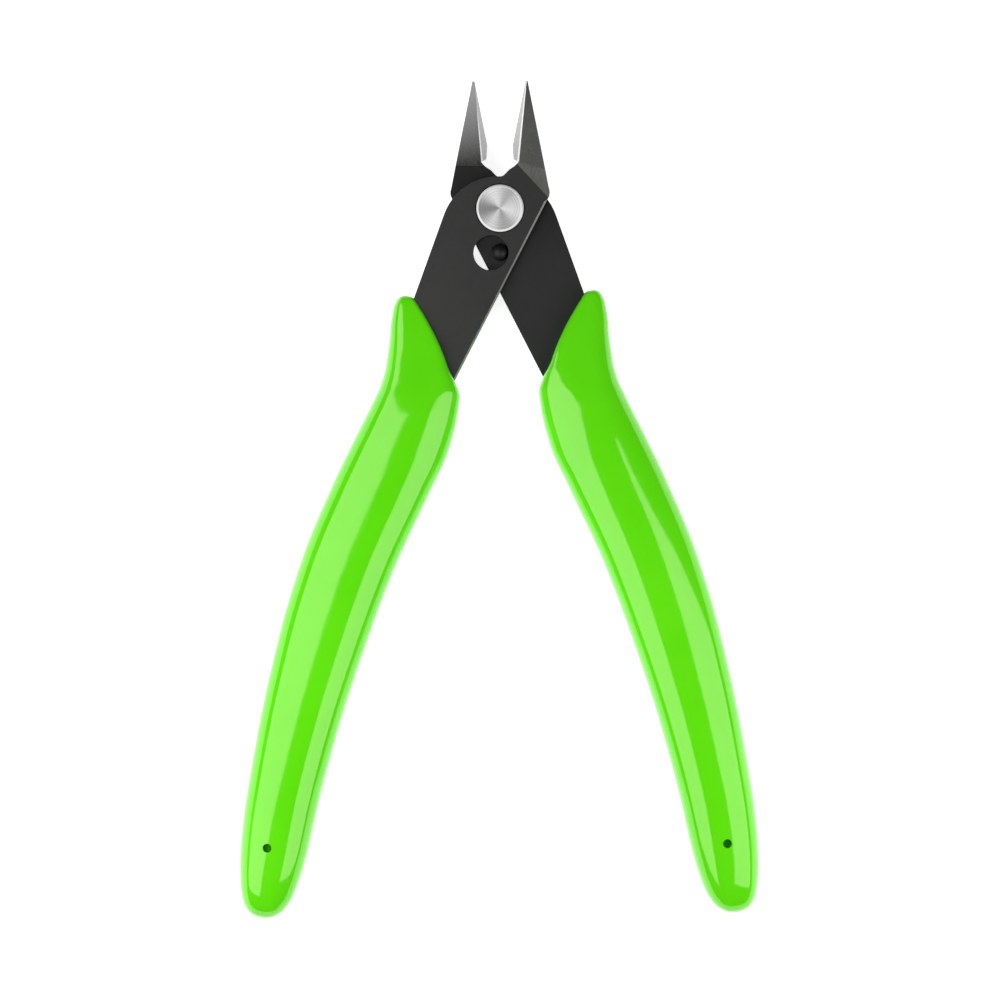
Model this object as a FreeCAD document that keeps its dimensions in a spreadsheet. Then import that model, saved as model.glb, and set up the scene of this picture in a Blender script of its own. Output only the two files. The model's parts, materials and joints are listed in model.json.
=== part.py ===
import FreeCAD, Part
import Sketcher
import math
import os

"""Flush cut pliers, standing open at rest.

Every size is in millimetres. Each steel half and its grip are drawn in the half's own frame: the pivot
is at the origin, Y runs along the closed pliers towards the jaws, the jaw is on +X and the tang on -X, and
Z points out of the lap between the halves. The rear half is turned face down, and both halves are then
swung open.
"""

DOC = FreeCAD.newDocument("flush_cut_pliers")

# Single sizes, one cell each.
SIZES = {
    # how the halves stand at rest
    "half_opening": 11.2,
    "pivot_up": 42.6,
    "mid_height": 5.25,
    # blades
    "plate_thickness": 2.0,
    "lap_gap": 0.04,
    "boss_radius": 8.45,
    "heel_radius": 1.6,
    "notch_radius": 0.9,
    "clear_radius": 8.6,
    "flush_start": 2.6,
    "flush_tilt": 7.0,
    "front_face_tilt": 25.0,
    "front_face_turn": -9.2,
    "band_tilt": 5.0,
    "band_turn": -36.0,
    "rear_face_tilt": 17.8,
    "rear_face_turn": 11.2,
    "front_bevel_angle": 17.3,
    "rear_bevel_angle": 30.0,
    "bevel_start": 7.2,
    "bevel_slant": -6.0,
    "edge_gap": 0.01,
    "jaw_depth": 5.0,
    "tool_reach": 24.0,
    "tool_depth": 9.0,
    "edge_chamfer": 0.25,
    # holes
    "shank_radius": 2.0,
    "front_bore_radius": 2.05,
    "seat_radius": 3.67,
    "seat_depth": 0.8,
    "window_radius": 2.59,
    # rivet, bush and washer
    "head_radius": 3.48,
    "head_chamfer": 0.26,
    "head_proud": 0.3,
    "seat_gap": 0.03,
    "bush_radius": 3.0,
    "bush_length": 1.68,
    "washer_radius": 4.3,
    "washer_thickness": 0.6,
    "tail_radius": 2.9,
    "tail_height": 0.55,
    # stop pin
    "stop_shank_radius": 0.9,
    "stop_head_radius": 1.27,
    "stop_straight": 0.85,
    # return spring
    "wire_radius": 0.55,
    "coil_radius": 3.62,
    "leg_angle": 22.8,
    "leg_length": 25.2,
    "spring_depth": 2.9,
    "leg_hole_radius": 0.75,
    "leg_end_gap": 0.4,
    # grips
    "grip_half": 5.35,
    "corner_share": 0.72,
    "mouth_radius": 36.0,
    "nose_radius": 1.9,
    "shoulder_radius": 2.6,
    "right_grip_rise": 0.85,
    "mark_hole_radius": 0.65,
    "mark_depth": 3.0,
}

# Named corners, an x and a y cell each.
CORNERS = {
    # jaw and boss
    "tip_edge": (0.01, 19.48),
    "tip": (0.32, 19.42),
    "jaw_root": (6.49, 4.28),
    "heel": (6.64, 2.81),
    "boss_top": (-0.83, 4.6),
    "boss_side": (-7.92, -2.66),
    "notch_low": (-0.28, 5.04),
    "notch_middle": (0.22, 5.82),
    "notch_high": (0.94, 6.53),
    "notch_end": (1.42, 7.32),
    "edge_base": (0.54, 7.62),
    "edge_low": (0.01, 9.6),
    "relief": (1.3, 4.9),
    # tang, down its inner side and back up its outer side
    "tang_in_1": (-5.2, -38.86),
    "tang_in_2": (-11.0, -62.0),
    "tang_in_3": (-13.0, -82.0),
    "tang_in_4": (-13.1, -101.0),
    "tang_out_4": (-16.5, -101.0),
    "tang_out_3": (-17.0, -82.0),
    "tang_out_2": (-16.2, -62.0),
    "tang_out_1": (-12.8, -44.0),
    "tang_neck": (-10.45, -27.0),
    "tang_side": (-10.0, -16.45),
    # facets, windows and marks
    "front_face": (1.6, 7.06),
    "band": (1.89, 6.37),
    "rear_face": (1.66, 6.77),
    "window": (-0.02, -6.69),
    "stop_hole": (1.26, -6.35),
    "mark": (-15.27, -98.85),
    # mouth of the grip, and the waste above it
    "nose_out": (-12.46, -18.05),
    "nose_in": (-9.83, -15.43),
    "mouth_low": (-1.86, -26.55),
    "shoulder": (-0.3, -29.6),
    "waste_right_low": (6.0, -29.6),
    "waste_right": (6.0, -8.0),
    "waste_left": (-26.0, -8.0),
    "waste_left_low": (-26.0, -18.05),
    "waste_end_right": (6.0, -114.0),
    "waste_end_left": (-26.0, -114.0),
}

# Sections of the grip: distance below the pivot, outer side, inner side, and how full the section is.
SECTIONS = [
    (13.0, -12.60, 0.60, 0.88),
    (21.0, -12.12, 0.40, 0.96),
    (30.0, -12.45, -0.26, 1.0),
    (38.0, -14.53, -0.85, 1.0),
    (50.0, -17.46, -3.99, 1.0),
    (62.0, -19.18, -6.17, 1.0),
    (74.0, -19.87, -7.85, 1.0),
    (88.0, -19.86, -9.10, 0.98),
    (98.0, -19.27, -9.44, 0.9),
    (104.0, -18.25, -10.02, 0.76),
    (107.4, -17.05, -11.30, 0.54),
    (109.0, -15.60, -12.90, 0.28),
]


def fill_sheet():
    """The driving dimensions as aliased cells."""
    cells = dict(SIZES)
    for name, (x, y) in CORNERS.items():
        cells[name + "_x"] = x
        cells[name + "_y"] = y
    for number, (down, outer, inner, full) in enumerate(SECTIONS):
        cells["station_%d" % number] = down
        cells["outer_%d" % number] = outer
        cells["inner_%d" % number] = inner
        cells["full_%d" % number] = full
    sheet = DOC.addObject("Spreadsheet::Sheet", "Sizes")
    for row, (name, value) in enumerate(cells.items(), start=1):
        sheet.set("A%d" % row, name)
        sheet.set("B%d" % row, str(value))
        sheet.setAlias("B%d" % row, name)
    DOC.recompute()
    return cells


CELLS = fill_sheet()


def cell(term):
    """The number that a signed cell name stands for."""
    if term.startswith("-"):
        return -CELLS[term[1:]]
    return CELLS[term]


def bound(term):
    """The expression that a signed cell name stands for."""
    if term.startswith("-"):
        return "-Sizes." + term[1:]
    return "Sizes." + term


def new_body(label):
    body = DOC.addObject("PartDesign::Body", label)
    body.Label = label
    return body


def new_sketch(body, name, role, offset=None):
    """A sketch on one of its body's origin planes, moved off it by an expression for a placement."""
    plane = [item for item in body.Origin.OriginFeatures if item.Role == role][0]
    sketch = body.newObject("Sketcher::SketchObject", name)
    sketch.AttachmentSupport = [(plane, "")]
    sketch.MapMode = "FlatFace"
    if offset:
        sketch.setExpression("AttachmentOffset", offset)
    return sketch


def constrain(sketch, kind, places, term):
    """A dimension bound to a cell."""
    index = sketch.addConstraint(Sketcher.Constraint(kind, *places, cell(term)))
    sketch.setExpression("Constraints[%d]" % index, bound(term))


def add_circle(sketch, centre, radius):
    """A circle with its centre at a named corner, or at the sketch's origin when centre is None."""
    x, y = CORNERS[centre] if centre else (0.0, 0.0)
    circle = Part.Circle(FreeCAD.Vector(x, y, 0), FreeCAD.Vector(0, 0, 1), cell(radius))
    index = sketch.addGeometry(circle, False)
    if centre:
        constrain(sketch, "DistanceX", (-1, 1, index, 3), centre + "_x")
        constrain(sketch, "DistanceY", (-1, 1, index, 3), centre + "_y")
    else:
        sketch.addConstraint(Sketcher.Constraint("Coincident", index, 3, -1, 1))
    constrain(sketch, "Radius", (index,), radius)


def arc_between(start, end, radius, side):
    """The short arc from start to end, with its centre on the left (side 1) or the right (side -1)."""
    chord = end - start
    normal = FreeCAD.Vector(-chord.y, chord.x, 0).normalize()
    reach = math.sqrt(radius ** 2 - (chord.Length / 2) ** 2)
    centre = (start + end) / 2 + normal * side * reach
    return Part.Arc(start, centre - normal * side * radius, end)


def add_outline(sketch, corners, bends=None):
    """A closed outline through named corners. bends: first corner of an edge -> (radius cell, side)."""
    bends = bends or {}
    edges = []
    for first, second in zip(corners, corners[1:] + corners[:1]):
        start = FreeCAD.Vector(*CORNERS[first], 0)
        end = FreeCAD.Vector(*CORNERS[second], 0)
        if first in bends:
            radius, side = bends[first]
            index = sketch.addGeometry(arc_between(start, end, cell(radius), side), False)
        else:
            index = sketch.addGeometry(Part.LineSegment(start, end), False)
        near = 1 if sketch.getPoint(index, 1).distanceToPoint(start) < 1e-6 else 2
        edges.append((index, near))
    for place, (index, near) in enumerate(edges):
        following, following_near = edges[(place + 1) % len(edges)]
        sketch.addConstraint(Sketcher.Constraint("Coincident", index, 3 - near, following, following_near))
        constrain(sketch, "DistanceX", (-1, 1, index, near), corners[place] + "_x")
        constrain(sketch, "DistanceY", (-1, 1, index, near), corners[place] + "_y")
        if corners[place] in bends:
            constrain(sketch, "Radius", (index,), bends[corners[place]][0])


def pad(body, sketch, length, reverse=False):
    feature = body.newObject("PartDesign::Pad", sketch.Name + "_pad")
    feature.Profile = sketch
    feature.setExpression("Length", length)
    feature.Reversed = reverse
    sketch.Visibility = False
    DOC.recompute()
    return feature


def pocket(body, sketch, length, reverse=False):
    """A pocket that has to take material away."""
    before = body.Shape.Volume
    feature = body.newObject("PartDesign::Pocket", sketch.Name + "_pocket")
    feature.Profile = sketch
    feature.setExpression("Length", length)
    feature.Reversed = reverse
    sketch.Visibility = False
    DOC.recompute()
    if body.Shape.Volume > before - 1e-6:
        raise RuntimeError(feature.Name + " cuts nothing")
    return feature


def lifted(height):
    """Placement expression: straight up by an expression for a height."""
    return "placement(vector(0; 0; %s); rotation(vector(0; 0; 1); 0))" % height


def tilted(x, y, height, turn, tilt, roll="0", twist="0"):
    """Placement expression at a point: turned about Z, tilted about X, rolled about Y, then twisted."""
    turns = zip(("0; 0; 1", "1; 0; 0", "0; 1; 0", "0; 0; 1"), (turn, tilt, roll, twist))
    rotation = " * ".join("rotation(vector(%s); %s)" % pair for pair in turns)
    return "placement(vector(%s; %s; %s); %s)" % (x, y, height, rotation)


INNER_FACE = "Sizes.lap_gap / 2"
OUTER_FACE = "(Sizes.lap_gap / 2 + Sizes.plate_thickness)"
TANG = ["heel", "tang_in_1", "tang_in_2", "tang_in_3", "tang_in_4", "tang_out_4", "tang_out_3",
        "tang_out_2", "tang_out_1", "tang_neck", "tang_side", "boss_side"]


def half_plane_cut(body, name, offset, reverse):
    """Takes away everything on one side of a tilted plane, from the plane's own X axis onwards."""
    sketch = new_sketch(body, name, "XY_Plane", offset)
    reach = CELLS["tool_reach"]
    left_low = FreeCAD.Vector(-reach, 0, 0)
    right_low = FreeCAD.Vector(reach, 0, 0)
    right_high = FreeCAD.Vector(reach, reach, 0)
    left_high = FreeCAD.Vector(-reach, reach, 0)
    points = [left_low, right_low, right_high, left_high]
    lines = []
    for start, end in zip(points, points[1:] + points[:1]):
        lines.append(sketch.addGeometry(Part.LineSegment(start, end), False))
    for line, following in zip(lines, lines[1:] + lines[:1]):
        sketch.addConstraint(Sketcher.Constraint("Coincident", line, 2, following, 1))
    for line, kind in zip(lines, ("Horizontal", "Vertical", "Horizontal", "Vertical")):
        sketch.addConstraint(Sketcher.Constraint(kind, line))
    sketch.addConstraint(Sketcher.Constraint("PointOnObject", lines[0], 1, -1))
    constrain(sketch, "DistanceX", (-1, 1, lines[0], 1), "-tool_reach")
    constrain(sketch, "DistanceX", (-1, 1, lines[0], 2), "tool_reach")
    constrain(sketch, "DistanceY", (-1, 1, lines[2], 1), "tool_reach")
    pocket(body, sketch, "Sizes.tool_depth", reverse)


def bevel_cut(body, back, angle):
    """The ground bevel, from the cutting edge up across the jaw, with a slanting lower end."""
    rise = "(Sizes.bevel_start - Sizes.flush_start) * tan(Sizes.flush_tilt)"
    height = "%d * (%s + %s)" % (back, OUTER_FACE, rise)
    offset = tilted("Sizes.edge_gap", "Sizes.bevel_start", height, "0", "%d * Sizes.flush_tilt" % back,
                    "%d * (90 - Sizes.%s)" % (back, angle), "Sizes.bevel_slant")
    half_plane_cut(body, "bevel", offset, back < 0)


def hole(body, name, centre, radius, depth, level, upward):
    """A round hole from one level, up or down."""
    sketch = new_sketch(body, name, "XY_Plane", lifted(level))
    add_circle(sketch, centre, radius)
    pocket(body, sketch, depth, upward)


def blade(label, back):
    """One steel half. back is -1 when the flush side of the jaw is below the lap, 1 when it is above."""
    body = new_body(label)
    face = "front" if back < 0 else "rear"
    edge = ["tip_edge", "tip", "jaw_root"] + TANG
    notch = ["boss_top", "notch_low", "notch_middle", "notch_high", "notch_end", "edge_base", "edge_low"]
    plate = new_sketch(body, "plate", "XY_Plane", lifted(INNER_FACE))
    add_outline(plate, edge + notch, {"jaw_root": ("heel_radius", -1), "boss_side": ("boss_radius", -1),
                                      "boss_top": ("notch_radius", 1)})
    pad(body, plate, "Sizes.plate_thickness")

    jaw = new_sketch(body, "jaw", "XY_Plane", lifted(INNER_FACE))
    add_outline(jaw, ["tip_edge", "tip", "jaw_root", "heel", "relief", "notch_end", "edge_base",
                      "edge_low"], {"jaw_root": ("heel_radius", -1), "heel": ("clear_radius", 1)})
    pad(body, jaw, "Sizes.jaw_depth", back < 0)

    flush = tilted("0", "Sizes.flush_start", "%d * %s" % (back, OUTER_FACE), "0",
                   "%d * Sizes.flush_tilt" % back)
    half_plane_cut(body, "flush", flush, back > 0)
    level = OUTER_FACE if back < 0 else INNER_FACE
    slope = tilted("Sizes.%s_face_x" % face, "Sizes.%s_face_y" % face, level,
                   "Sizes.%s_face_turn" % face, "%d * Sizes.%s_face_tilt" % (back, face))
    half_plane_cut(body, "slope", slope, back < 0)
    if back < 0:
        band = tilted("Sizes.band_x", "Sizes.band_y", level, "Sizes.band_turn", "-Sizes.band_tilt")
        half_plane_cut(body, "band", band, True)
    bevel_cut(body, back, face + "_bevel_angle")
    return body


def front_blade():
    """Right jaw and left tang. Its plate lies over the rear one, with the rivet's seat and the window."""
    body = blade("front_blade", -1)
    hole(body, "bore", None, "front_bore_radius", "Sizes.plate_thickness", INNER_FACE, True)
    hole(body, "seat", None, "seat_radius", "Sizes.seat_depth", OUTER_FACE, False)
    hole(body, "window", "window", "window_radius", "Sizes.plate_thickness", INNER_FACE, True)
    chamfer_long_edge(body)
    return body


def rear_blade():
    """Left jaw and right tang, with the rivet and the stop pin pressed in."""
    body = blade("rear_blade", 1)
    hole(body, "bore", None, "shank_radius", "Sizes.plate_thickness", INNER_FACE, True)
    hole(body, "stop_bore", "stop_hole", "stop_shank_radius", "Sizes.plate_thickness", INNER_FACE, True)
    return body


def chamfer_long_edge(body):
    """Breaks the outer edge of the long straight side, from the heel down to the tang."""
    top = CELLS["lap_gap"] / 2 + CELLS["plate_thickness"]
    heel = FreeCAD.Vector(*CORNERS["heel"], top)
    tang = FreeCAD.Vector(*CORNERS["tang_in_1"], top)
    dress_edges(body, "PartDesign::Chamfer", "long_edge", "Size", "edge_chamfer",
                lambda edge: edge.Length > CELLS["boss_radius"]
                and all(is_on_line(vertex.Point, heel, tang) for vertex in edge.Vertexes))


def dress_edges(body, kind, name, size, term, wanted):
    """A chamfer or fillet on the edges that wanted picks out."""
    base = body.Tip
    names = ["Edge%d" % number for number, edge in enumerate(base.Shape.Edges, start=1) if wanted(edge)]
    feature = body.newObject(kind, name)
    feature.Base = (base, names)
    feature.setExpression(size, "Sizes." + term)
    DOC.recompute()


def is_on_line(point, start, end):
    """Whether a point lies within a hair of the line from start to end."""
    return point.distanceToLine(start, end - start) < 0.02 and abs(point.z - start.z) < 0.02


def add_section(sketch, number):
    """A rounded rectangle, centred on the lap, that is one section of the grip."""
    left, right = cell("outer_%d" % number), cell("inner_%d" % number)
    half = cell("grip_half") * cell("full_%d" % number)
    corner = half * cell("corner_share")
    x0, x1, y1 = left + corner, right - corner, half - corner
    vector = FreeCAD.Vector
    sides = [(vector(x0, -half, 0), vector(x1, -half, 0)), (vector(right, -y1, 0), vector(right, y1, 0)),
             (vector(x1, half, 0), vector(x0, half, 0)), (vector(left, y1, 0), vector(left, -y1, 0))]
    centres = [(x1, -y1), (x1, y1), (x0, y1), (x0, -y1)]
    for place, (start, end) in enumerate(sides):
        sketch.addGeometry(Part.LineSegment(start, end), False)
        circle = Part.Circle(vector(*centres[place], 0), vector(0, 0, 1), corner)
        turn = math.radians(90 * place)
        sketch.addGeometry(Part.ArcOfCircle(circle, turn - math.pi / 2, turn), False)
    for place in range(0, 8, 2):
        arc, following = place + 1, (place + 2) % 8
        sketch.addConstraint(Sketcher.Constraint("Tangent", place, 2, arc, 1))
        sketch.addConstraint(Sketcher.Constraint("Tangent", arc, 2, following, 1))
        sketch.addConstraint(Sketcher.Constraint("Horizontal" if place in (0, 4) else "Vertical", place))
    for arc in (3, 5, 7):
        sketch.addConstraint(Sketcher.Constraint("Equal", 1, arc))
    height = "Sizes.grip_half * Sizes.full_%d" % number
    measures = [("DistanceY", (-1, 1, 4, 1), half, height),
                ("DistanceY", (-1, 1, 0, 1), -half, "-" + height),
                ("DistanceX", (-1, 1, 6, 1), left, "Sizes.outer_%d" % number),
                ("DistanceX", (-1, 1, 2, 1), right, "Sizes.inner_%d" % number),
                ("Radius", (1,), corner, height + " * Sizes.corner_share")]
    for kind, places, value, expression in measures:
        index = sketch.addConstraint(Sketcher.Constraint(kind, *places, value))
        sketch.setExpression("Constraints[%d]" % index, expression)


def grip(label, mark_side, rise="0"):
    """A moulded grip round the tang. mark_side is 1 when its front faces the half's own +Z, else -1."""
    body = new_body(label)
    sections = []
    for number in range(len(SECTIONS)):
        down = lifted("Sizes.station_%d - %s" % (number, rise))
        sketch = new_sketch(body, "section_%d" % number, "XZ_Plane", down)
        add_section(sketch, number)
        sketch.Visibility = False
        sections.append(sketch)
    DOC.recompute()
    loft = body.newObject("PartDesign::AdditiveLoft", "skin")
    loft.Profile = sections[0]
    loft.Sections = sections[1:]
    DOC.recompute()

    mouth = new_sketch(body, "mouth", "XY_Plane", tilted("0", rise, "-Sizes.tool_depth", "0", "0"))
    add_outline(mouth, ["nose_out", "nose_in", "mouth_low", "shoulder", "waste_right_low", "waste_right",
                        "waste_left", "waste_left_low"],
                {"nose_out": ("nose_radius", -1), "nose_in": ("mouth_radius", -1),
                 "mouth_low": ("shoulder_radius", -1)})
    pocket(body, mouth, "2 * Sizes.tool_depth", True)
    for side in (-1, 1):
        rest = new_sketch(body, "rest_flat", "XY_Plane", lifted("%d * Sizes.mid_height" % side))
        add_outline(rest, ["waste_left", "waste_right", "waste_end_right", "waste_end_left"])
        pocket(body, rest, "Sizes.tool_depth", side > 0)
    tang = new_sketch(body, "tang", "XY_Plane", lifted(INNER_FACE))
    add_outline(tang, TANG)
    pocket(body, tang, "Sizes.plate_thickness", True)
    leg = new_sketch(body, "leg", "XY_Plane", leg_seat(mark_side))
    add_circle(leg, None, "leg_hole_radius")
    pocket(body, leg, "Sizes.leg_length + Sizes.leg_end_gap", True)
    mark_seat = tilted("0", rise, "%d * Sizes.mid_height" % mark_side, "0", "0")
    mark = new_sketch(body, "mark", "XY_Plane", mark_seat)
    add_circle(mark, "mark", "mark_hole_radius")
    pocket(body, mark, "Sizes.mark_depth", mark_side < 0)
    return body


def leg_seat(mark_side):
    """Placement expression, in a half's own frame: where a spring leg leaves the coil, facing along it."""
    lean = "(Sizes.leg_angle - Sizes.half_opening)"
    x = "-Sizes.coil_radius * cos(%s)" % lean
    y = "Sizes.coil_radius * sin(%s)" % lean
    return tilted(x, y, "%d * Sizes.spring_depth" % -mark_side, "-" + lean, "90")


def primitive(kind, name, **sizes):
    """A Part primitive, each property bound to an expression. rise lifts it along Z."""
    solid = DOC.addObject("Part::" + kind, name)
    rise = sizes.pop("rise", "0")
    for size, expression in sizes.items():
        solid.setExpression(size, expression)
    solid.setExpression("Placement", lifted(rise))
    return solid


def fused(label, solids):
    body = DOC.addObject("Part::MultiFuse", label)
    body.Label = label
    body.Shapes = solids
    return body


def ring(label, radius, length, rise):
    """A flat ring round the rivet's shank."""
    outside = primitive("Cylinder", label + "_outside", Radius=radius, Height=length, rise=rise)
    inside = primitive("Cylinder", label + "_inside", Radius="Sizes.shank_radius", Height=length, rise=rise)
    body = DOC.addObject("Part::Cut", label + "_ring")
    body.Label = label
    body.Base = outside
    body.Tool = inside
    return body


SEAT_FLOOR = "(%s - Sizes.seat_depth + Sizes.seat_gap)" % OUTER_FACE
BUSH_BACK = "(-%s - Sizes.bush_length)" % OUTER_FACE
WASHER_BACK = "(%s - Sizes.washer_thickness)" % BUSH_BACK


def pivot_rivet():
    """Headed rivet: turned head in the front seat, shank through both blades, and a peened tail."""
    straight = "Sizes.seat_depth - Sizes.seat_gap + Sizes.head_proud - Sizes.head_chamfer"
    rim = "%s + %s" % (SEAT_FLOOR, straight)
    return fused("pivot_rivet", [
        primitive("Cylinder", "rivet_shank", Radius="Sizes.shank_radius",
                  Height="%s - %s" % (SEAT_FLOOR, WASHER_BACK), rise=WASHER_BACK),
        primitive("Cylinder", "rivet_head", Radius="Sizes.head_radius", Height=straight, rise=SEAT_FLOOR),
        primitive("Cone", "rivet_rim", Radius1="Sizes.head_radius",
                  Radius2="Sizes.head_radius - Sizes.head_chamfer", Height="Sizes.head_chamfer", rise=rim),
        primitive("Cone", "rivet_tail", Radius1="Sizes.tail_radius - Sizes.tail_height",
                  Radius2="Sizes.tail_radius", Height="Sizes.tail_height",
                  rise="%s - Sizes.tail_height" % WASHER_BACK),
    ])


def stop_pin():
    """Domed pin, pressed into the rear blade, that stands in the front blade's window."""
    return fused("stop_pin", [
        primitive("Cylinder", "stop_shank", Radius="Sizes.stop_shank_radius",
                  Height="%s + %s" % (OUTER_FACE, INNER_FACE), rise="-" + OUTER_FACE),
        primitive("Cylinder", "stop_head", Radius="Sizes.stop_head_radius", Height="Sizes.stop_straight",
                  rise="-" + INNER_FACE),
        primitive("Sphere", "stop_dome", Radius="Sizes.stop_head_radius", Angle1="0",
                  rise="Sizes.stop_straight - %s" % INNER_FACE),
    ])


def return_spring():
    """Bent music wire: a hairpin round the bush, with a straight leg into each grip."""
    body = new_body("return_spring")
    spine = new_sketch(body, "spine", "XY_Plane", lifted("-Sizes.spring_depth"))
    lean = math.radians(CELLS["leg_angle"])
    radius, length = CELLS["coil_radius"], CELLS["leg_length"]
    vector = FreeCAD.Vector
    foot_x = radius * math.cos(lean) + length * math.sin(lean)
    foot_y = radius * math.sin(lean) - length * math.cos(lean)
    hip_x, hip_y = radius * math.cos(lean), radius * math.sin(lean)
    sketch_leg = [(vector(hip_x, hip_y, 0), vector(foot_x, foot_y, 0)),
                  (vector(-hip_x, hip_y, 0), vector(-foot_x, foot_y, 0))]
    right, left = [spine.addGeometry(Part.LineSegment(*ends), False) for ends in sketch_leg]
    circle = Part.Circle(vector(0, 0, 0), vector(0, 0, 1), radius)
    bend = spine.addGeometry(Part.ArcOfCircle(circle, lean, math.pi - lean), False)
    spine.addConstraint(Sketcher.Constraint("Tangent", bend, 1, right, 1))
    spine.addConstraint(Sketcher.Constraint("Tangent", bend, 2, left, 1))
    spine.addConstraint(Sketcher.Constraint("Coincident", bend, 3, -1, 1))
    foot_across = "(Sizes.coil_radius * cos(Sizes.leg_angle) + Sizes.leg_length * sin(Sizes.leg_angle))"
    foot_down = "(Sizes.coil_radius * sin(Sizes.leg_angle) - Sizes.leg_length * cos(Sizes.leg_angle))"
    for kind, places, value, expression in [
            ("Radius", (bend,), radius, "Sizes.coil_radius"),
            ("DistanceX", (-1, 1, right, 2), foot_x, foot_across),
            ("DistanceY", (-1, 1, right, 2), foot_y, foot_down),
            ("DistanceX", (-1, 1, left, 2), -foot_x, "-" + foot_across)]:
        index = spine.addConstraint(Sketcher.Constraint(kind, *places, value))
        spine.setExpression("Constraints[%d]" % index, expression)
    wire = new_sketch(body, "wire", "XY_Plane",
                      tilted(foot_across, foot_down, "-Sizes.spring_depth", "Sizes.leg_angle", "90"))
    add_circle(wire, None, "wire_radius")
    DOC.recompute()
    pipe = body.newObject("PartDesign::AdditivePipe", "pipe")
    pipe.Profile = wire
    pipe.Spine = (spine, [])
    DOC.recompute()
    return body


def half_seat(turned):
    """Placement expression: a half at the pivot, swung open. A turned half lies face down."""
    swing = "rotation(vector(0; 0; 1); %sSizes.half_opening)" % ("" if turned else "-")
    flip = " * rotation(vector(0; 1; 0); 180)" if turned else ""
    return "placement(vector(0; Sizes.pivot_up; Sizes.mid_height); %s%s)" % (swing, flip)


def stop_seat():
    """Placement expression: upright in the rear blade's stop hole."""
    in_half = "placement(vector(Sizes.stop_hole_x; Sizes.stop_hole_y; 0); rotation(vector(0; 1; 0); 180))"
    return "%s * %s" % (half_seat(True), in_half)


def build():
    """Every sub-part, in place."""
    half_pieces = [(front_blade(), False), (rear_blade(), True), (grip("left_grip", 1), False),
                   (grip("right_grip", -1, "Sizes.right_grip_rise"), True)]
    for body, turned in half_pieces:
        body.setExpression("Placement", half_seat(turned))
    middle_pieces = [
        pivot_rivet(),
        ring("spring_bush", "Sizes.bush_radius", "Sizes.bush_length", BUSH_BACK),
        ring("rivet_washer", "Sizes.washer_radius", "Sizes.washer_thickness", WASHER_BACK),
        return_spring(),
    ]
    for body in middle_pieces:
        body.setExpression("Placement", tilted("0", "Sizes.pivot_up", "Sizes.mid_height", "0", "0"))
    pin = stop_pin()
    pin.setExpression("Placement", stop_seat())
    DOC.recompute()
    return [body for body, turned in half_pieces] + middle_pieces + [pin]


def check(bodies):
    """Stops at any failed object or bad shape."""
    for item in DOC.Objects:
        if "Invalid" in item.State or "Error" in item.State:
            raise RuntimeError("%s failed: %s" % (item.Name, item.State))
    for body in bodies:
        shape = body.Shape
        if shape.isNull() or not shape.isValid() or not shape.Solids:
            raise RuntimeError(body.Label + " has no valid solid")


def write(bodies):
    os.makedirs("parts", exist_ok=True)
    for body in bodies:
        body.Shape.exportStep("parts/%s.step" % body.Label)


sub_parts = build()
check(sub_parts)
write(sub_parts)
for body in sub_parts:
    box = body.Shape.BoundBox
    print("%-14s %9.2f mm3  x %.2f..%.2f  y %.2f..%.2f  z %.2f..%.2f" % (
        body.Label, body.Shape.Volume, box.XMin, box.XMax, box.YMin, box.YMax, box.ZMin, box.ZMax))
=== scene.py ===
import bpy
import bmesh
import json
import math
import numpy as np
from mathutils import Matrix, Vector


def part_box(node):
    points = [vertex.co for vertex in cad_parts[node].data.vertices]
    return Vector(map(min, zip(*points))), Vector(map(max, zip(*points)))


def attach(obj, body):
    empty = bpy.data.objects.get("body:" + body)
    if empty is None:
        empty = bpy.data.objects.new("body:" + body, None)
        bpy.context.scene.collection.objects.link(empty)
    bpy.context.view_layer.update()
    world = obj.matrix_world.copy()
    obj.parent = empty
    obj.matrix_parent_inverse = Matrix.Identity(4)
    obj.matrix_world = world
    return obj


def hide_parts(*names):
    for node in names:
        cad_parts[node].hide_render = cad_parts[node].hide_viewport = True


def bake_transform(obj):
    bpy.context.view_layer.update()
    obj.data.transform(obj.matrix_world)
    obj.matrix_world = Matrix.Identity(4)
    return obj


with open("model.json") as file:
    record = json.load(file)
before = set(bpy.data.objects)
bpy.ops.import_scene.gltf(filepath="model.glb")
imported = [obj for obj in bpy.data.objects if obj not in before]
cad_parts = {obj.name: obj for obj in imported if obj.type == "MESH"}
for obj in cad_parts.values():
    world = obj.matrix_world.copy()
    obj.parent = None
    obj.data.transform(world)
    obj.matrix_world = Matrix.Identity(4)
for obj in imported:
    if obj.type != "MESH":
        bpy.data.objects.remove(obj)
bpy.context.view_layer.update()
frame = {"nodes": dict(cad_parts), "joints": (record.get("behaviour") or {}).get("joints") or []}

MM = 0.001
MICRON = 0.000001
ROUNDING_STEPS = 3
NODES = frame["nodes"]
JOINT = frame["joints"][0]
PIVOT = Vector(JOINT["pos_m"])
HALF_OPENING = math.radians(JOINT["range_deg"][1] / 2)
GRIP_LOW, GRIP_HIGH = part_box("left_grip")
GRIP_HALF = (GRIP_HIGH.z - GRIP_LOW.z) / 2 / MM

# A half's own frame is in millimetres: the pivot is at the origin, Y runs up the closed pliers to the
# jaws, the jaw is on +X and the tang on -X, and Z is up. A mirrored half has its X turned round, and then
# both are swung open.


def half_matrix(mirrored):
    """From a half's own frame to the row frame."""
    swing = Matrix.Rotation(HALF_OPENING * (1 if mirrored else -1), 4, "Z")
    flip = Matrix.Diagonal((-1 if mirrored else 1, 1, 1, 1))
    return Matrix.Translation(PIVOT) @ swing @ flip @ Matrix.Scale(MM, 4)


# ---------------------------------------------------------------- meshes


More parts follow.
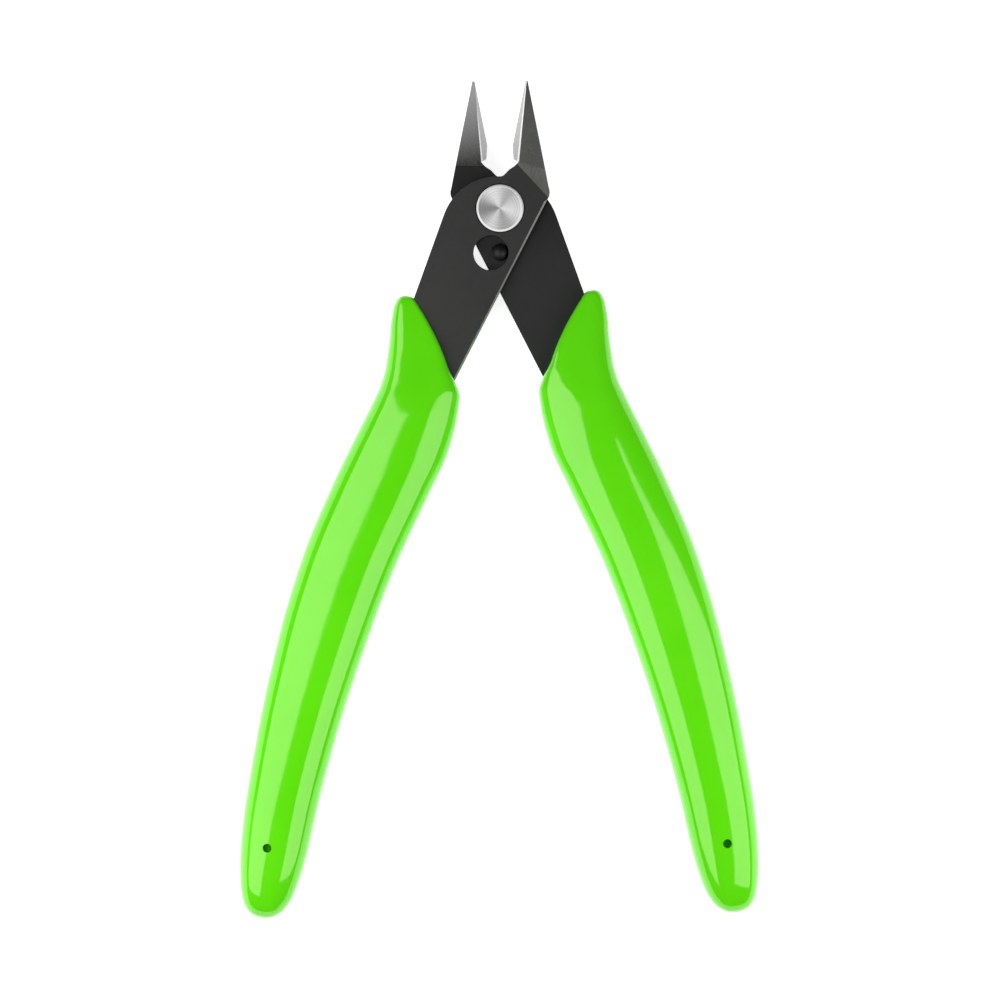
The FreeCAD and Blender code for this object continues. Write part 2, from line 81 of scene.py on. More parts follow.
def new_object(name, points, faces, smooth=True):
    """An object in the scene with a new mesh."""
    mesh = bpy.data.meshes.new(name)
    mesh.from_pydata([tuple(point) for point in points], [], faces)
    mesh.validate()
    for polygon in mesh.polygons:
        polygon.use_smooth = smooth
    obj = bpy.data.objects.new(name, mesh)
    bpy.context.scene.collection.objects.link(obj)
    return obj


def stitched(rings):
    """Faces between rings of equal size, numbered ring after ring, with a cap on each end."""
    around = len(rings[0])
    faces = []
    for ring in range(len(rings) - 1):
        for place in range(around):
            a = ring * around + place
            b = ring * around + (place + 1) % around
            faces.append((a, b, b + around, a + around))
    last = (len(rings) - 1) * around
    faces.append(tuple(range(around - 1, -1, -1)))
    faces.append(tuple(range(last, last + around)))
    return faces


def smooth_curve(knots, values, at):
    """A smooth line through knots that never swings past them (monotone cubic)."""
    knots, values, at = (np.asarray(item, float) for item in (knots, values, at))
    step = np.diff(knots)
    slope = np.diff(values) / step
    tangent = np.zeros_like(values)
    same = slope[:-1] * slope[1:] > 0
    tangent[1:-1][same] = 2 * slope[:-1][same] * slope[1:][same] / (slope[:-1] + slope[1:])[same]
    tangent[0] = slope[0]
    tangent[-1] = slope[-1]
    place = np.clip(np.searchsorted(knots, at) - 1, 0, len(step) - 1)
    t = (at - knots[place]) / step[place]
    h = step[place]
    return ((1 + 2 * t) * (1 - t) ** 2 * values[place] + t * (1 - t) ** 2 * h * tangent[place]
            + t ** 2 * (3 - 2 * t) * values[place + 1] + t ** 2 * (t - 1) * h * tangent[place + 1])


def turned(name, profile, centre, segments):
    """A piece turned on a lathe: (radius, height) points in millimetres, from its foot up."""
    rings = []
    for radius, height in profile:
        ring = []
        for place in range(segments):
            angle = 2 * math.pi * place / segments
            spoke = Vector((radius * math.cos(angle), radius * math.sin(angle), height))
            ring.append(centre + spoke * MM)
        rings.append(ring)
    return new_object(name, [point for ring in rings for point in ring], stitched(rings))


def rounded(corners, radius):
    """A lathe profile with every corner between its ends rounded off."""
    points = [corners[0]]
    for before, corner, after in zip(corners, corners[1:], corners[2:]):
        before, corner, after = Vector(before), Vector(corner), Vector(after)
        reach = min(radius, (before - corner).length * 0.45, (after - corner).length * 0.45)
        start = corner + (before - corner).normalized() * reach
        end = corner + (after - corner).normalized() * reach
        for step in range(ROUNDING_STEPS + 1):
            t = step / ROUNDING_STEPS
            points.append(tuple(start * (1 - t) ** 2 + corner * 2 * t * (1 - t) + end * t ** 2))
    return points + [corners[-1]]


def sharpen(obj, angle):
    """Hard shading where faces meet at more than an angle in degrees."""
    obj.data.set_sharp_from_angle(angle=math.radians(angle))


# ---------------------------------------------------------------- material tools


def new_material(name, **sockets):
    """A material, its node tree and its shader; sockets set the shader's own values."""
    material = bpy.data.materials.new(name)
    material.use_nodes = True
    shader = material.node_tree.nodes["Principled BSDF"]
    for socket, value in sockets.items():
        shader.inputs[socket.replace("_", " ")].default_value = value
    return material, material.node_tree, shader


def node(tree, kind, inputs=None, **settings):
    """A new node with its settings, its inputs set to values or linked to sockets."""
    made = tree.nodes.new(kind)
    for name, value in settings.items():
        setattr(made, name, value)
    for name, value in (inputs or {}).items():
        if isinstance(value, bpy.types.NodeSocket):
            tree.links.new(value, made.inputs[name])
        else:
            made.inputs[name].default_value = value
    return made


def noise(tree, place, scale, detail, roughness=0.5):
    """Noise over a place; scale is in features per metre."""
    made = node(tree, "ShaderNodeTexNoise", {"Vector": place, "Scale": scale, "Detail": detail,
                                             "Roughness": roughness})
    return made.outputs["Fac"]


def ranged(tree, value, low, high, new_low, new_high):
    """A value carried from one range to another, and held inside it."""
    made = node(tree, "ShaderNodeMapRange", {"Value": value, "From Min": low, "From Max": high,
                                             "To Min": new_low, "To Max": new_high})
    return made.outputs["Result"]


def blended(tree, share, first, second):
    """A colour between two, by a share."""
    made = node(tree, "ShaderNodeMix", {"Factor": share}, data_type="RGBA")
    for socket, colour in (("A", first), ("B", second)):
        place = [item for item in made.inputs if item.name == socket and item.type == "RGBA"][0]
        if isinstance(colour, bpy.types.NodeSocket):
            tree.links.new(colour, place)
        else:
            place.default_value = colour
    return [item for item in made.outputs if item.type == "RGBA"][0]


def combined(tree, operation, first, second):
    """One number from two, by a mathematical operation."""
    made = node(tree, "ShaderNodeMath", {0: first, 1: second}, operation=operation)
    return made.outputs["Value"]


def grey(tone, green=1.0, blue=1.0):
    """A grey whose red is the tone, and whose green and blue are shares of it."""
    return (tone, tone * green, tone * blue, 1)


def feed(tree, shader, colour, roughness):
    """Links the shader's colour and roughness."""
    tree.links.new(colour, shader.inputs["Base Color"])
    tree.links.new(roughness, shader.inputs["Roughness"])


def add_bump(tree, shader, layers):
    """Bumps one over another. layers: (height socket, depth in metres)."""
    normal = None
    for height, depth in layers:
        inputs = {"Height": height, "Distance": depth, "Strength": 1.0}
        if normal:
            inputs["Normal"] = normal
        normal = node(tree, "ShaderNodeBump", inputs).outputs["Normal"]
    tree.links.new(normal, shader.inputs["Normal"])


def object_place(tree, stretch=(1.0, 1.0, 1.0), turn=0.0):
    """The point on the object, turned about Z and then stretched."""
    place = node(tree, "ShaderNodeTexCoord").outputs["Object"]
    swung = node(tree, "ShaderNodeMapping", {"Vector": place, "Rotation": (0, 0, turn)}).outputs["Vector"]
    return node(tree, "ShaderNodeMapping", {"Vector": swung, "Scale": stretch}).outputs["Vector"]


# ---------------------------------------------------------------- materials


def green_vinyl():
    """Glossy moulded vinyl: even colour, a faint ripple, and fine handling marks in the gloss."""
    material, tree, shader = new_material("green_vinyl", IOR=1.5, Specular_IOR_Level=0.85,
                                          Specular_Tint=(1.0, 0.9, 0.62, 1))
    place = object_place(tree)
    cloud = ranged(tree, noise(tree, place, 60, 3), 0.35, 0.65, 0, 1)
    marks = noise(tree, object_place(tree, (6.0, 1.0, 6.0)), 500, 3, 0.6)
    feed(tree, shader, blended(tree, cloud, (0.108, 0.735, 0.003, 1), (0.124, 0.775, 0.006, 1)),
         ranged(tree, marks, 0.45, 0.75, 0.07, 0.16))
    ripple = noise(tree, place, 260, 2)
    grain = noise(tree, place, 2600, 2)
    add_bump(tree, shader, [(ripple, 12 * MICRON), (grain, 0.6 * MICRON)])
    return material


def black_oxide(name, tone, roughness=0.4, turn=0.0, streaks=0.12, painted_fade=None):
    """Blackened steel: a dark satin skin with a fine grain and grinding lines along the half.

    painted_fade: two heights up the picture in metres, and the tone that the skin has come to at the
    second; painted shade where it darkens, painted highlight where it lightens.
    """
    material, tree, shader = new_material(name, Metallic=0.0, IOR=1.55, Specular_IOR_Level=0.3)
    place = object_place(tree)
    grain = noise(tree, place, 9000, 2, 0.6)
    lines = noise(tree, object_place(tree, (22.0, 1.0, 22.0), turn), 420, 3, 0.6)
    cloud = combined(tree, "ADD", noise(tree, place, 90, 4), lines)
    share = ranged(tree, cloud, 0.75, 1.25, 0, 1)
    dark = grey(tone * (1 - streaks), 1.04, 0.95)
    light = grey(tone * (1 + streaks), 1.04, 0.95)
    skin = blended(tree, share, dark, light)
    # Painted light: the tone changes up the picture towards the painted tone.
    if painted_fade:
        low, high, painted_tone = painted_fade
        up = node(tree, "ShaderNodeSeparateXYZ", {"Vector": place}).outputs["Y"]
        up = combined(tree, "ADD", up, combined(tree, "MULTIPLY", lines, 3 * MM))
        skin = blended(tree, ranged(tree, up, low, high, 0, 1), skin, grey(painted_tone, 1.02))
    mixed = combined(tree, "ADD", grain, lines)
    feed(tree, shader, skin, ranged(tree, mixed, 0.6, 1.4, roughness - 0.05, roughness + 0.07))
    add_bump(tree, shader, [(lines, 2.5 * MICRON), (grain, 3.5 * MICRON)])
    return material


def ground_steel(name, bright, metallic):
    """Ground steel, with fine grinding lines along X."""
    material, tree, shader = new_material(name, Metallic=metallic)
    lines = noise(tree, object_place(tree, (1.0, 14.0, 14.0)), 900, 3, 0.6)
    feed(tree, shader, blended(tree, lines, grey(bright * 0.9), grey(bright)),
         ranged(tree, lines, 0.3, 0.7, 0.24, 0.36))
    add_bump(tree, shader, [(lines, 1.5 * MICRON)])
    return material


def worn_edge():
    """The plate's broken edges, where the black skin has rubbed to grey."""
    material, tree, shader = new_material("worn_edge", Metallic=0.7)
    wear = ranged(tree, noise(tree, object_place(tree), 1500, 4, 0.65), 0.4, 0.65, 0, 1)
    feed(tree, shader, blended(tree, wear, grey(0.05), grey(0.3)), ranged(tree, wear, 0, 1, 0.42, 0.3))
    return material


# Painted highlight on the rivet's turned face, a conical sheen round its axis: each a share of a turn, and
# the tone there.
PAINTED_SHEEN_SECTORS = [(0.0, 0.36), (0.05, 0.34), (0.13, 0.78), (0.18, 0.92), (0.25, 0.44), (0.33, 0.32),
           (0.42, 0.82), (0.5, 0.95), (0.6, 0.72), (0.67, 0.33), (0.75, 0.66), (0.83, 0.93),
           (0.91, 0.62), (0.965, 0.36), (1.0, 0.36)]


def painted_sheen_tone(tree, flat):
    """The soft conical sheen of a faced surface, painted into its colour as a highlight, from its place
    across the axis.
    """
    gradient = node(tree, "ShaderNodeTexGradient", {"Vector": flat}, gradient_type="RADIAL")
    ramp = node(tree, "ShaderNodeValToRGB", {"Fac": gradient.outputs["Fac"]})
    ramp.color_ramp.interpolation = "B_SPLINE"
    stops = ramp.color_ramp.elements
    for stop, (position, tone) in zip(stops, (PAINTED_SHEEN_SECTORS[0], PAINTED_SHEEN_SECTORS[-1])):
        stop.position = position
        stop.color = grey(tone)
    for position, tone in PAINTED_SHEEN_SECTORS[1:-1]:
        stops.new(position).color = grey(tone)
    return ramp.outputs["Color"]


def turned_steel(name, roughness, grooves, lean, bright=None, metallic=1.0):
    """Lathe-turned steel: fine rings round the piece's own axis, and gloss drawn out along them.

    Without a brightness, its colour carries a painted highlight: the conical sheen of a faced surface.
    """
    material, tree, shader = new_material(name, Metallic=metallic, Anisotropic=lean)
    place = node(tree, "ShaderNodeTexCoord").outputs["Generated"]
    middle = node(tree, "ShaderNodeVectorMath", {0: place, 1: (0.5, 0.5, 0.0)}, operation="SUBTRACT")
    flat = node(tree, "ShaderNodeVectorMath", {0: middle.outputs["Vector"], 1: (1, 1, 0)},
                operation="MULTIPLY").outputs["Vector"]
    radius = node(tree, "ShaderNodeVectorMath", {0: flat}, operation="LENGTH").outputs["Value"]
    rings = node(tree, "ShaderNodeTexNoise", {"W": radius, "Scale": grooves, "Detail": 3.0,
                                              "Roughness": 0.7}, noise_dimensions="1D").outputs["Fac"]
    if bright is None:
        share = ranged(tree, rings, 0.3, 0.7, 0.04, 0.0)
        colour = blended(tree, share, painted_sheen_tone(tree, flat), grey(1.0))
    else:
        colour = blended(tree, rings, grey(bright * 0.88), grey(bright, 1.0, 0.99))
    feed(tree, shader, colour, ranged(tree, rings, 0.3, 0.7, roughness - 0.04, roughness + 0.06))
    tangent = node(tree, "ShaderNodeTangent", direction_type="RADIAL", axis="Z").outputs["Tangent"]
    tree.links.new(tangent, shader.inputs["Tangent"])
    add_bump(tree, shader, [(rings, 0.8 * MICRON)])
    return material


def drawn_wire():
    """Music wire: smooth, slightly oiled, with small drawing marks."""
    material, tree, shader = new_material("drawn_wire", Metallic=1.0)
    marks = noise(tree, object_place(tree), 1800, 4, 0.6)
    feed(tree, shader, blended(tree, marks, (0.42, 0.41, 0.39, 1), (0.62, 0.61, 0.59, 1)),
         ranged(tree, marks, 0.3, 0.7, 0.22, 0.36))
    add_bump(tree, shader, [(marks, 3 * MICRON)])
    return material


def paint(obj, *materials):
    """Gives an object's mesh its materials, in order."""
    for material in materials:
        obj.data.materials.append(material)


# ---------------------------------------------------------------- grips

# Each rib across a grip: outer x and y, inner x and y, its thickness as a share of the grip's, how square
# its inner side is, and how far across from the outer side its crest lies.
RIBS = [
    (-11.46, -15.34, -10.98, -15.26, 0.20, 2.2, 0.50),
    (-11.95, -15.66, -10.45, -15.24, 0.34, 2.6, 0.50),
    (-12.28, -16.20, -9.95, -15.40, 0.42, 4.0, 0.54),
    (-12.53, -17.50, -9.13, -16.22, 0.47, 7.0, 0.54),
    (-12.50, -19.50, -7.56, -17.93, 0.535, 9.0, 0.51),
    (-12.26, -21.70, -5.86, -19.98, 0.61, 9.0, 0.47),
    (-12.08, -24.20, -4.12, -22.43, 0.695, 9.0, 0.43),
    (-12.01, -26.60, -2.75, -24.70, 0.775, 7.0, 0.38),
    (-12.20, -28.80, -1.35, -26.50, 0.845, 4.5, 0.37),
    (-12.70, -31.00, -0.32, -28.50, 0.91, 3.2, 0.38),
    (-13.56, -34.20, -0.12, -32.00, 0.97, 2.8, 0.41),
    (-14.76, -38.60, -0.46, -36.80, 1.0, 2.6, 0.45),
    (-16.20, -44.20, -1.92, -43.00, 1.0, 2.6, 0.49),
    (-18.61, -56.20, -5.00, -55.80, 1.0, 2.6, 0.50),
    (-19.75, -68.10, -6.94, -67.95, 1.0, 2.6, 0.50),
    (-20.08, -80.00, -8.37, -80.00, 1.0, 2.6, 0.49),
    (-19.84, -92.00, -9.15, -92.00, 0.98, 2.6, 0.46),
    (-19.41, -98.00, -9.30, -98.00, 0.945, 2.6, 0.45),
    (-18.83, -102.00, -9.64, -102.20, 0.885, 2.6, 0.45),
    (-18.08, -105.30, -10.22, -105.50, 0.775, 2.5, 0.46),
    (-17.20, -107.55, -11.10, -107.55, 0.60, 2.4, 0.48),
    (-16.15, -108.78, -12.40, -108.83, 0.37, 2.2, 0.50),
    (-15.20, -109.23, -13.50, -109.28, 0.15, 2.0, 0.50),
]
RINGS_PER_RIB = 8
AROUND_GRIP = 96
OUTER_SQUARENESS = 2.6
# The moulding mark's place on each grip, by whether the grip is mirrored.
MARK = {False: (-15.27, -98.85), True: (-14.60, -98.90)}
MARK_RADIUS = 0.65
MARK_DEPTH = 3.0


def grip(name, mirrored, rise):
    """A moulded grip: smooth ribs from the nose to the end, and a blind moulding mark in its front.

    rise: how far up its tang it is moved, in millimetres.
    """
    ribs = np.array(RIBS)
    middles = (ribs[:, 0:2] + ribs[:, 2:4]) / 2
    along = np.concatenate(([0.0], np.cumsum(np.hypot(*np.diff(middles, axis=0).T))))
    stretches = [np.linspace(a, b, RINGS_PER_RIB, endpoint=False) for a, b in zip(along, along[1:])]
    fine = np.concatenate(stretches + [along[-1:]])
    columns = [smooth_curve(along, ribs[:, column], fine) for column in range(ribs.shape[1])]
    to_row = half_matrix(mirrored) @ Matrix.Translation((0, rise, 0))
    rings = []
    for outer_x, outer_y, inner_x, inner_y, share, squareness, crest in zip(*columns):
        outer = Vector((outer_x, outer_y, 0))
        inner = Vector((inner_x, inner_y, 0))
        top = outer.lerp(inner, crest)
        ring = []
        for place in range(AROUND_GRIP):
            turn = 2 * math.pi * place / AROUND_GRIP
            across = math.cos(turn)
            power = 2 / (squareness if across > 0 else OUTER_SQUARENESS)
            side = inner if across > 0 else outer
            up = math.copysign(abs(math.sin(turn)) ** power, math.sin(turn)) * share * GRIP_HALF
            ring.append(to_row @ (top.lerp(side, abs(across) ** power) + Vector((0, 0, up))))
        rings.append(ring)
    faces = stitched(rings)
    if mirrored:
        faces = [tuple(reversed(face)) for face in faces]
    obj = new_object(name, [point for ring in rings for point in ring], faces)
    drill(obj, to_row @ Vector((*MARK[mirrored], GRIP_HALF)))
    return obj


def drill(obj, mouth):
    """A blind hole with a softened lip, straight down from a point."""
    # Each a share of the mark's radius and a height from the mouth.
    shares = [(0.7, -MARK_DEPTH), (1.0, -MARK_DEPTH * 0.92), (1.0, -0.32), (1.04, -0.2), (1.15, -0.12),
              (1.35, -0.06), (1.35, 1.0)]
    profile = [(MARK_RADIUS * share, height) for share, height in shares]
    tool = turned("mark_tool", profile, mouth, 48)
    modifier = obj.modifiers.new("mark", "BOOLEAN")
    modifier.object = tool
    modifier.operation = "DIFFERENCE"
    modifier.solver = "EXACT"
    finish_modifiers(obj)
    bpy.data.objects.remove(tool)
    sharpen(obj, 35)


def finish_modifiers(obj):
    """Makes an object's modifiers part of its mesh."""
    bpy.context.view_layer.update()
    evaluated = obj.evaluated_get(bpy.context.evaluated_depsgraph_get())
    mesh = bpy.data.meshes.new_from_object(evaluated)
    obj.modifiers.clear()
    obj.data = mesh


# ---------------------------------------------------------------- blades

# Materials of a steel half, in the order that the mesh holds them.
PLATE, BEVEL, BROKEN, LONG_EDGE, EDGE_STRIP, GROUND = range(6)

# Where they lie: places in the half's own frame, and parts of a face's normal along X or Z.
BEVEL_START = 7.0
BEVEL_REACH = 2.0
BEVEL_LEAN_X = -0.3
LONG_EDGE_LEAN_X = 0.5
LONG_EDGE_LEAN_Z = (0.647, 0.767)
JAW_FOOT = (0.3, 3.0)
GROUND_LEAN_Z = (0.85, 0.998)
EDGE_STRIP_LOW = (1.12, 7.3)
EDGE_STRIP_TIP = (0.11, 19.4)

# Points within WELD metres become one, and so do faces that meet at less than SAME_PLANE. A point within
# CUT_SLACK metres of a cut counts as on it.
WELD = 2e-6
SAME_PLANE = math.radians(0.6)
CUT_SLACK = 1e-7

# Edges sharper than CORNER are broken by EDGE_BREAK, apart from those of the cutting edge, which are above
# BEVEL_START and inside SHARP_LINE.
CORNER = math.radians(18)
EDGE_BREAK = 0.07
SHARP_LINE = 0.3

# Shading turns hard at BROAD_CREASE between two faces of over BROAD square metres, and at SMALL_CREASE
# between others.
BROAD = 1.2e-6
BROAD_CREASE = math.radians(4)
SMALL_CREASE = math.radians(40)


def blade(name, node_name, mirrored):
    """A steel half: the CAD piece's surfaces, made whole and given their materials, with broken edges."""
    mesh = NODES[node_name].data.copy()
    mesh.materials.clear()
    work = bmesh.new()
    work.from_mesh(mesh)
    bmesh.ops.remove_doubles(work, verts=work.verts, dist=WELD)
    bmesh.ops.dissolve_limit(work, angle_limit=SAME_PLANE, verts=work.verts, edges=work.edges)
    to_half = half_matrix(mirrored).inverted()
    for face in work.faces:
        face.smooth = True
        middle = to_half @ face.calc_center_median()
        lean = (to_half.to_3x3() @ face.normal).normalized()
        face.material_index = steel_kind(middle, lean, mirrored)
    split_bevel(work, to_half.inverted())
    breaks = []
    for edge in work.edges:
        if len(edge.link_faces) != 2 or edge.calc_face_angle() < CORNER:
            continue
        ends = [to_half @ vertex.co for vertex in edge.verts]
        if min(end.y for end in ends) > BEVEL_START and max(end.x for end in ends) < SHARP_LINE:
            continue
        breaks.append(edge)
    bmesh.ops.bevel(work, geom=breaks, offset=EDGE_BREAK * MM, segments=2, profile=0.5, affect="EDGES",
                    material=BROKEN, clamp_overlap=True)
    for edge in work.edges:
        broad = min((face.calc_area() for face in edge.link_faces), default=0) > BROAD
        edge.smooth = edge.calc_face_angle(0) < (BROAD_CREASE if broad else SMALL_CREASE)
    work.to_mesh(mesh)
    work.free()
    obj = bpy.data.objects.new(name, mesh)
    bpy.context.scene.collection.objects.link(obj)
    weighted = obj.modifiers.new("even_shading", "WEIGHTED_NORMAL")
    weighted.keep_sharp = True
    return obj


def steel_kind(middle, lean, mirrored):
    """Which material a face has, from its middle and its normal in the half's own frame."""
    low, high = LONG_EDGE_LEAN_Z
    # Only the unmirrored half's long edge, leaning this way, takes the painted highlight line.
    if not mirrored and lean.x > LONG_EDGE_LEAN_X and low < lean.z < high:
        return LONG_EDGE
    if middle.y > BEVEL_START and middle.x < BEVEL_REACH and lean.x < BEVEL_LEAN_X:
        return BEVEL
    low, high = GROUND_LEAN_Z
    if middle.x > JAW_FOOT[0] and middle.y > JAW_FOOT[1] and low < abs(lean.z) < high:
        return GROUND
    return PLATE


def split_bevel(work, from_half):
    """Parts the bevel lengthwise: bright beside the black face, a duller grey along the edge."""
    low = Vector((*EDGE_STRIP_LOW, 0))
    tip = Vector((*EDGE_STRIP_TIP, 0))
    across = Vector(((tip - low).y, -(tip - low).x, 0))
    place = from_half @ low
    facing = (from_half.to_3x3() @ across).normalized()
    bevel = [face for face in work.faces if face.material_index == BEVEL]
    lines = {line for face in bevel for line in face.edges}
    corners = {corner for face in bevel for corner in face.verts}
    bmesh.ops.bisect_plane(work, geom=bevel + list(lines) + list(corners), dist=CUT_SLACK,
                           plane_co=place, plane_no=facing)
    for face in work.faces:
        if face.material_index == BEVEL and (face.calc_center_median() - place).dot(facing) < 0:
            face.material_index = EDGE_STRIP


# ---------------------------------------------------------------- turned pieces and spring


def lathe_heights(node_name):
    """A turned node's lowest and highest point from the pivot, and its radius, in millimetres."""
    low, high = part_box(node_name)
    return (low.z - PIVOT.z) / MM, (high.z - PIVOT.z) / MM, (high.x - low.x) / 2 / MM


RIVET_SHANK = 1.98
RIVET_TAIL = 2.88
RIM = 0.3
PIN_SHANK = 0.88
DOME_STEPS = 12
COLLAR_HOLE = 1.99


def rivet():
    """Headed rivet: a flat turned face with a rim painted white as a highlight, a shank and a peened tail.
    """
    low, high, head = lathe_heights("pivot_rivet")
    tail_top = low + 0.56
    head_foot = high - 1.07
    corners = [(0.0, low), (1.6, low), (2.45, low + 0.1), (RIVET_TAIL, low + 0.5), (RIVET_TAIL, tail_top),
               (RIVET_SHANK, tail_top), (RIVET_SHANK, head_foot), (head, head_foot), (head, high - 0.26),
               (head - 0.24, high), (head - 0.42, high - 0.02), (0.12, high - 0.05), (0.0, high - 0.09)]
    obj = turned("turned_rivet", rounded(corners, 0.06)[1:-1], PIVOT, 128)
    for face in obj.data.polygons:
        place = (face.center - PIVOT) / MM
        # Faces on the rim take the second material, painted white as a highlight.
        face.material_index = int(place.z > high - RIM and head - RIM < place.xy.length < head - 0.01)
    sharpen(obj, 30)
    return obj


def pin():
    """Domed stop pin."""
    low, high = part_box("stop_pin")
    head = (high.x - low.x) / 2 / MM
    centre = Vector(((low.x + high.x) / 2, (low.y + high.y) / 2, 0))
    dome = high.z / MM - head
    foot = low.z / MM
    profile = [(0.05, foot + 0.03), (0.75, foot + 0.03), (PIN_SHANK, foot + 0.15), (PIN_SHANK, dome - 1.0),
               (head, dome - 0.8)]
    for step in range(DOME_STEPS + 1):
        # The last ring is just short of the top, where a small flat cap closes the dome.
        turn = math.radians(90 * step / (DOME_STEPS + 0.3))
        profile.append((head * math.cos(turn), dome + head * math.sin(turn)))
    return turned("domed_stop_pin", profile, centre, 64)


def collar(name, node_name, corner):
    """A ring round the rivet's shank. Its profile goes all the way round, so its caps are taken out."""
    low, high, outside = lathe_heights(node_name)
    middle = (COLLAR_HOLE, (low + high) / 2)
    low += 0.01
    high -= 0.01
    corners = [middle, (COLLAR_HOLE, low), (outside, low), (outside, high), (COLLAR_HOLE, high), middle]
    obj = turned(name, rounded(corners, corner), PIVOT, 96)
    work = bmesh.new()
    work.from_mesh(obj.data)
    caps = [face for face in work.faces if len(face.verts) > 4]
    bmesh.ops.delete(work, geom=caps, context="FACES_ONLY")
    bmesh.ops.remove_doubles(work, verts=work.verts, dist=MICRON)
    work.to_mesh(obj.data)
    work.free()
    sharpen(obj, 40)
    return obj


COIL_RADIUS = 3.62
WIRE_RADIUS = 0.55
LEG_ANGLE = math.radians(22.8)
LEG_LENGTH = 25.2
LEG_STEPS = 24
BEND_STEPS = 48
AROUND_WIRE = 24


def spring():
    """The return spring: a hairpin of round wire behind the halves."""
    low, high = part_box("return_spring")
    level = ((low.z + high.z) / 2 - PIVOT.z) / MM
    hip = Vector((math.cos(LEG_ANGLE), math.sin(LEG_ANGLE), 0)) * COIL_RADIUS
    down = Vector((math.sin(LEG_ANGLE), -math.cos(LEG_ANGLE), 0))
    right = [hip + down * LEG_LENGTH * (1 - step / LEG_STEPS) for step in range(LEG_STEPS)]
    bend = []
    for step in range(BEND_STEPS + 1):
        turn = LEG_ANGLE + (math.pi - 2 * LEG_ANGLE) * step / BEND_STEPS
        bend.append(Vector((math.cos(turn), math.sin(turn), 0)) * COIL_RADIUS)
    left = [Vector((-point.x, point.y, 0)) for point in reversed(right)]
    route = right + bend + left
    upward = Vector((0, 0, 1))
    rings = []
    for place, point in enumerate(route):
        ahead = route[min(place + 1, len(route) - 1)] - route[max(place - 1, 0)]
        side = ahead.normalized().cross(upward)
        ring = []
        for step in range(AROUND_WIRE):
            turn = 2 * math.pi * step / AROUND_WIRE
            spoke = (side * math.cos(turn) + upward * math.sin(turn)) * WIRE_RADIUS
            ring.append(PIVOT + (point + spoke + upward * level) * MM)
        rings.append(ring)
    obj = new_object("hairpin_spring", [point for ring in rings for point in ring], stitched(rings))
    sharpen(obj, 60)
    return obj


# ---------------------------------------------------------------- assembly


def fit(obj, node_name, body):
    """Puts a finished piece in the place of its CAD node, on its body."""
    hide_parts(node_name)
    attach(obj, body)


def fit_grip(name, node_name, body, mirrored, rise):
    """A green grip in its place."""
    obj = grip(name, mirrored, rise)
    paint(obj, vinyl)
    fit(obj, node_name, body)


def fit_half(name, node_name, body, mirrored, plate, jaw):
    """A steel half in its place. plate and jaw: tone and painted fade of its flat and of its jaw's facets;
    the rear plate's tone and fade are painted shade, the jaw's lighter tone and fade painted highlight.
    """
    obj = blade(name, node_name, mirrored)
    swing = HALF_OPENING * (-1 if mirrored else 1)
    flat = black_oxide("black_oxide_" + body, plate[0], turn=swing, painted_fade=plate[1])
    # The jaw's facets keep their grinding streaks, with a lighter tone that is painted highlight; on the
    # rear jaw the painted highlight fades in towards the tip.
    facets = black_oxide("ground_oxide_painted_highlight_" + body, jaw[0], 0.36, swing, 0.3, jaw[1])
    paint(obj, flat, *steels, facets)
    fit(obj, node_name, body)


def fit_collar(name, node_name, corner):
    """A bush or a washer in its place on the rivet."""
    obj = collar(name, node_name, corner)
    paint(obj, turned_steel(name + "_steel", 0.32, 25.0, 0.4, bright=0.7))
    fit(obj, node_name, "rear_half")


vinyl = green_vinyl()
fit_grip("left_grip_skin", "left_grip", "front_half", False, 0.0)
fit_grip("right_grip_skin", "right_grip", "rear_half", True, 0.85)

# Bevel, broken edges, long edge with its painted highlight line, and the grey strip along the cutting edge.
steels = [ground_steel("ground_bevel", 0.95, 0.7), worn_edge(), ground_steel("painted_highlight_line", 0.24, 0.2),
          ground_steel("bevel_edge_grey", 0.45, 0.6)]
fit_half("front_steel_half", "front_blade", "front_half", False, (0.022, None), (0.12, None))
# The rear plate's tone is darker than the front's, painted shade where the front plate covers it, and fades
# darker still up the picture, painted shade at its jaw's foot.
fit_half("rear_steel_half", "rear_blade", "rear_half", True, (0.012, (0.036, 0.045, 0.004)),
         (0.045, (0.0505, 0.0615, 0.47)))

head = rivet()
# The rivet's face takes the painted conical sheen in its colour.
paint(head, turned_steel("turned_steel", 0.3, 40.0, 0.6, metallic=0.35),
      ground_steel("painted_highlight_rim", 1.0, 0.0))
fit(head, "pivot_rivet", "rear_half")
stop = pin()
paint(stop, black_oxide("black_pin", 0.006, 0.5))
fit(stop, "stop_pin", "rear_half")
fit_collar("bush_ring", "spring_bush", 0.12)
fit_collar("washer_ring", "rivet_washer", 0.14)
wire = spring()
paint(wire, drawn_wire())
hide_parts("return_spring")
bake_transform(wire)

# ---------------------------------------------------------------- stage

# The picture shows VIEW_WIDTH metres across at the height VIEW_LEVEL, with its middle at VIEW_Y.
VIEW_WIDTH = 0.147
VIEW_LEVEL = 0.0075
VIEW_Y = -0.00032
TABLE = 2
RADIANCE = 2.5


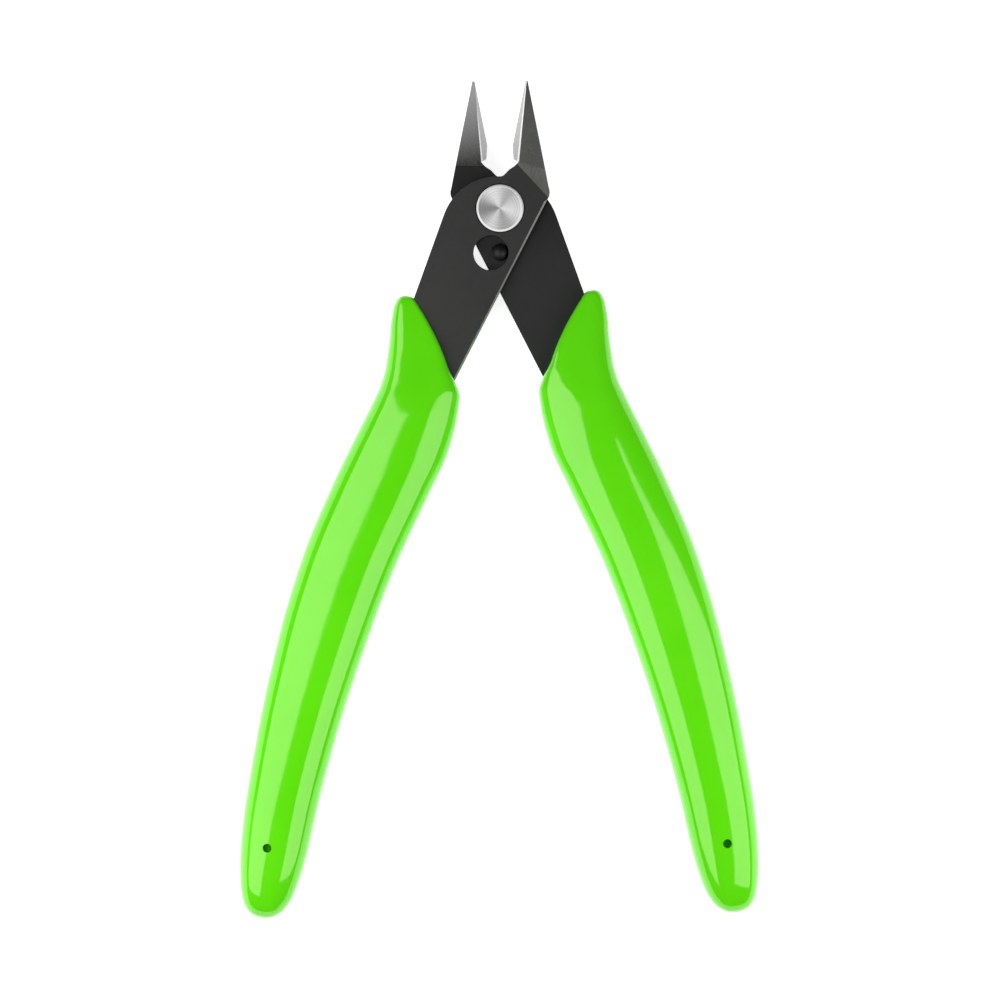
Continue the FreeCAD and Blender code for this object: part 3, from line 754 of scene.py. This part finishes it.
def softbox(name, inner, outer, low, high, twist):
    """A flat softbox that faces down.

    inner and outer: x and z of its two long edges. low and high: y of its ends. twist: how far it is turned
    in its own plane, in degrees.
    """
    middle = Vector(((inner[0] + outer[0]) / 2, (low + high) / 2, (inner[1] + outer[1]) / 2))
    across = Vector((outer[0] - inner[0], 0, outer[1] - inner[1]))
    facing = across.cross(Vector((0, 1, 0)))
    if facing.z > 0:
        facing = -facing
    data = bpy.data.lights.new(name, "AREA")
    data.shape = "RECTANGLE"
    data.size = high - low
    data.size_y = across.length
    data.energy = RADIANCE * math.pi * data.size * data.size_y
    obj = bpy.data.objects.new(name, data)
    aim = facing.to_track_quat("-Z", "Y").to_matrix().to_4x4()
    obj.matrix_world = Matrix.Translation(middle) @ aim @ Matrix.Rotation(math.radians(twist), 4, "Z")
    obj.visible_camera = False
    bpy.context.scene.collection.objects.link(obj)


def stage():
    """White table that gives off light, a softbox on each side, and the camera overhead."""
    corners = [(-TABLE, -TABLE, 0), (TABLE, -TABLE, 0), (TABLE, TABLE, 0), (-TABLE, TABLE, 0)]
    floor = new_object("table", corners, [(0, 1, 2, 3)], smooth=False)
    white = new_material("table_white", Base_Color=grey(0.8), Roughness=0.9, Emission_Color=grey(1),
                         Emission_Strength=0.8)[0]
    paint(floor, white)
    world = bpy.data.worlds.new("studio")
    world.use_nodes = True
    background = world.node_tree.nodes["Background"]
    background.inputs["Color"].default_value = grey(1)
    background.inputs["Strength"].default_value = 0.03
    bpy.context.scene.world = world
    softbox("left_softbox", (-0.047, 0.21), (-0.255, 0.088), -0.17, 0.105, twist=-22)
    softbox("right_softbox", (0.061, 0.21), (0.25, 0.066), -0.16, 0.03, twist=0)
    data = bpy.data.cameras.new("camera")
    data.lens = 300
    data.sensor_width = 36
    data.clip_end = 10
    camera = bpy.data.objects.new("camera", data)
    camera.location = (0, VIEW_Y, VIEW_LEVEL + VIEW_WIDTH * data.lens / data.sensor_width)
    bpy.context.scene.collection.objects.link(camera)
    bpy.context.scene.camera = camera
    bpy.context.scene.view_settings.view_transform = "Standard"


stage()
